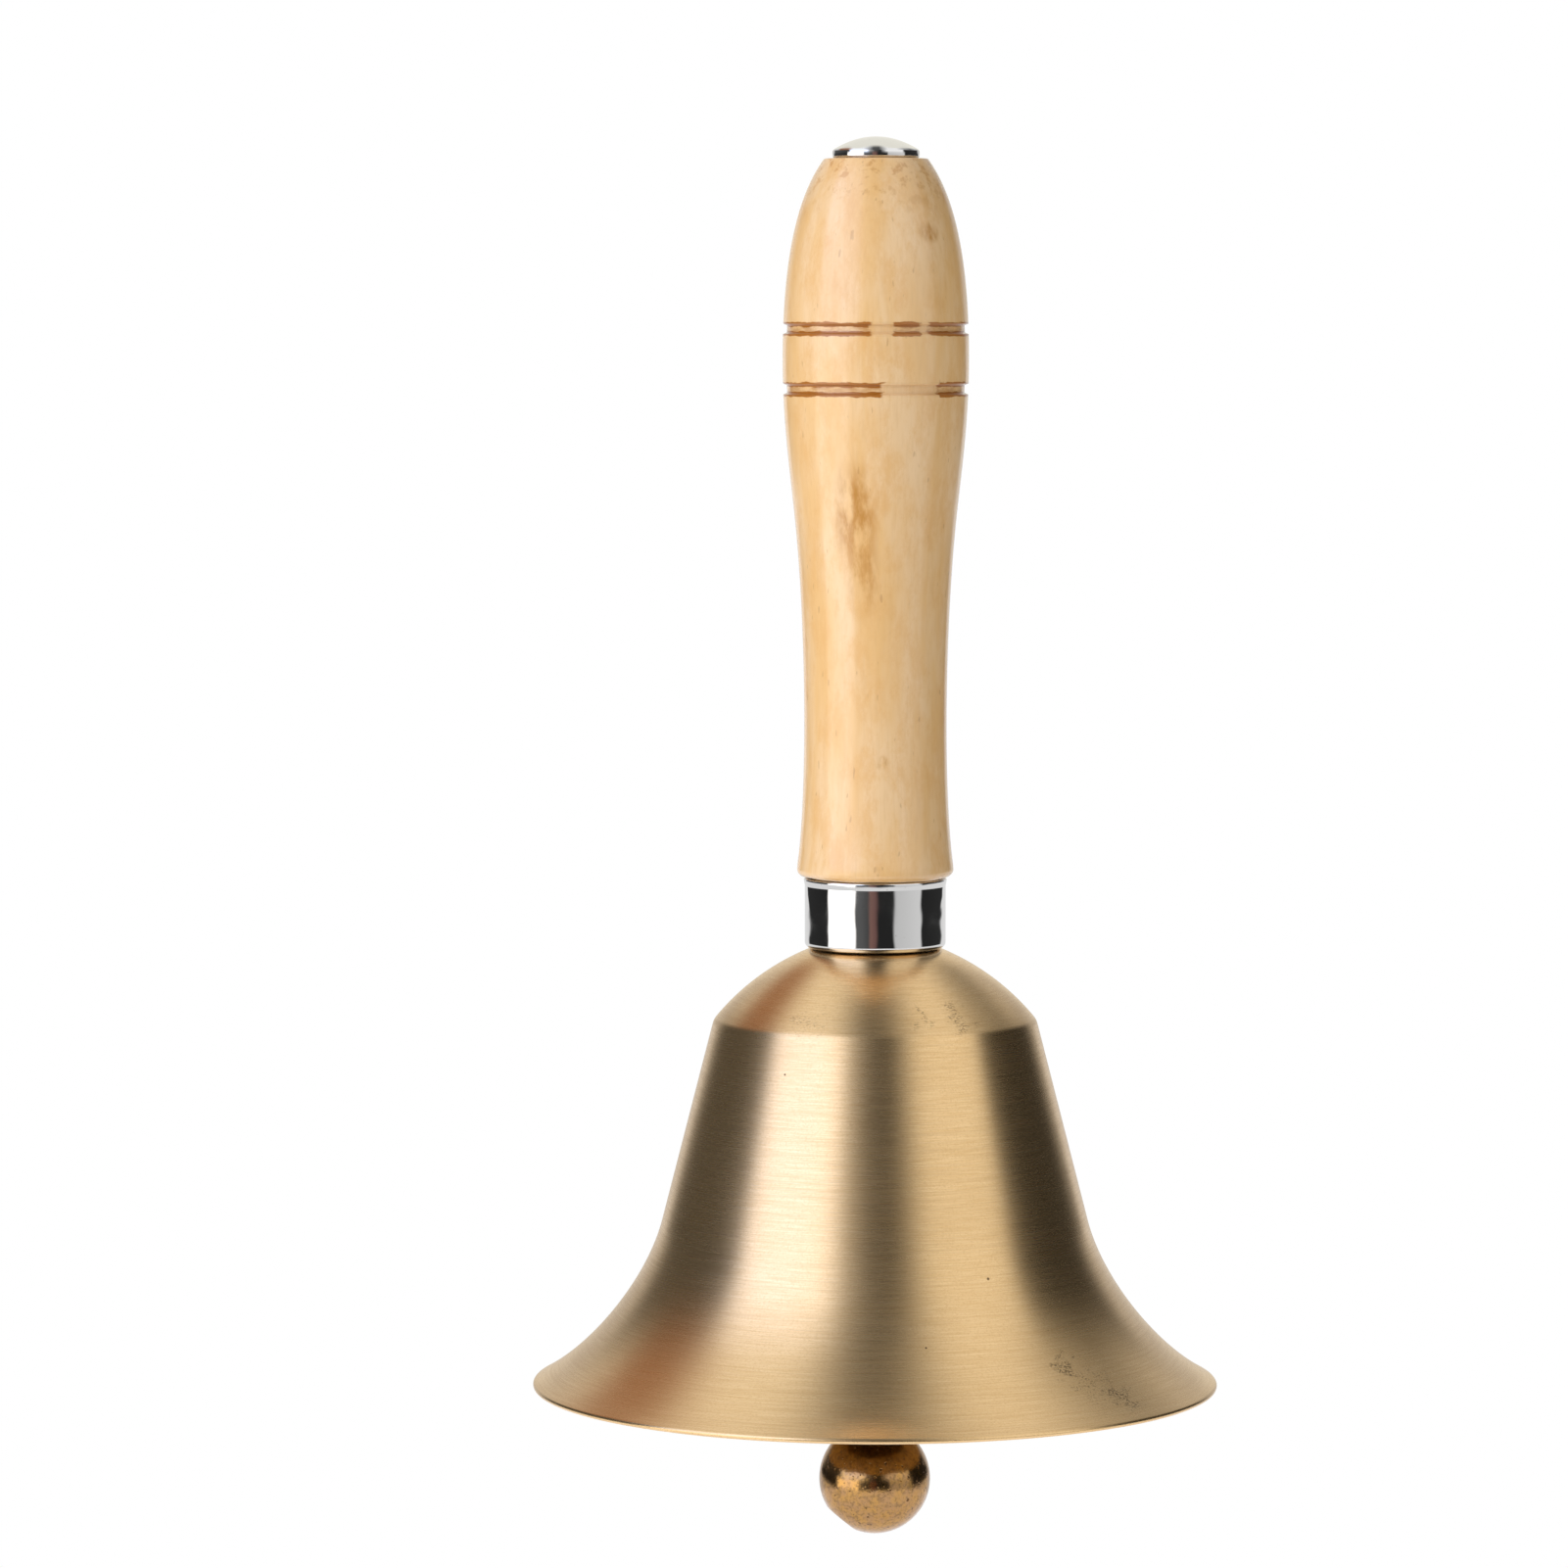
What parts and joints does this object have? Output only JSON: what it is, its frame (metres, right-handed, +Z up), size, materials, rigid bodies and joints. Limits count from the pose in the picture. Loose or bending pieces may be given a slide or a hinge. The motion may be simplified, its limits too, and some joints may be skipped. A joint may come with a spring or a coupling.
{
  "type": "handbell",
  "caption": "Small flared brass handbell on a turned wooden grip, with a ball clapper that swivels and swings inside.",
  "frame": {"origin": "centre of the wooden grip, on the bell's axis", "axes": "+Z up the grip, away from the bell's mouth; the clapper's pin lies along Y at rest"},
  "size_m": [0.08, 0.08, 0.1631],
  "materials": {
    "brass": "satin, fine turning lines",
    "aged_brass": "dull, pitted",
    "chrome": "polished",
    "zinc_plate": "zinc plated",
    "steel_wire": "drawn wire",
    "lacquered_wood": "turned and lacquered"
  },
  "bodies": {
    "bell_and_grip": {"bell_body": "brass", "ferrule": "chrome", "handle": "lacquered_wood", "tie_bolt": "chrome", "crown_washer": "zinc_plate", "spring_washer": "zinc_plate", "clamp_nut": "zinc_plate", "swivel_washer": "zinc_plate", "retaining_nut": "zinc_plate", "jam_nut": "zinc_plate"},
    "swivel_hanger": {"hanger": "zinc_plate", "hanger_pin": "steel_wire"},
    "clapper": {"clapper_stem": "steel_wire", "clapper_ball": "aged_brass"}
  },
  "joints": [
    {"name": "hanger_swivel", "type": "hinge", "parent": "bell_and_grip", "child": "swivel_hanger", "pos_m": [0, 0, -0.0696], "axis": [0, 0, 1], "continuous": true},
    {"name": "clapper_swing", "type": "hinge", "parent": "swivel_hanger", "child": "clapper", "pos_m": [0, 0, -0.0696], "axis": [0, 1, 0], "range_deg": [-41, 41]}
  ]
}
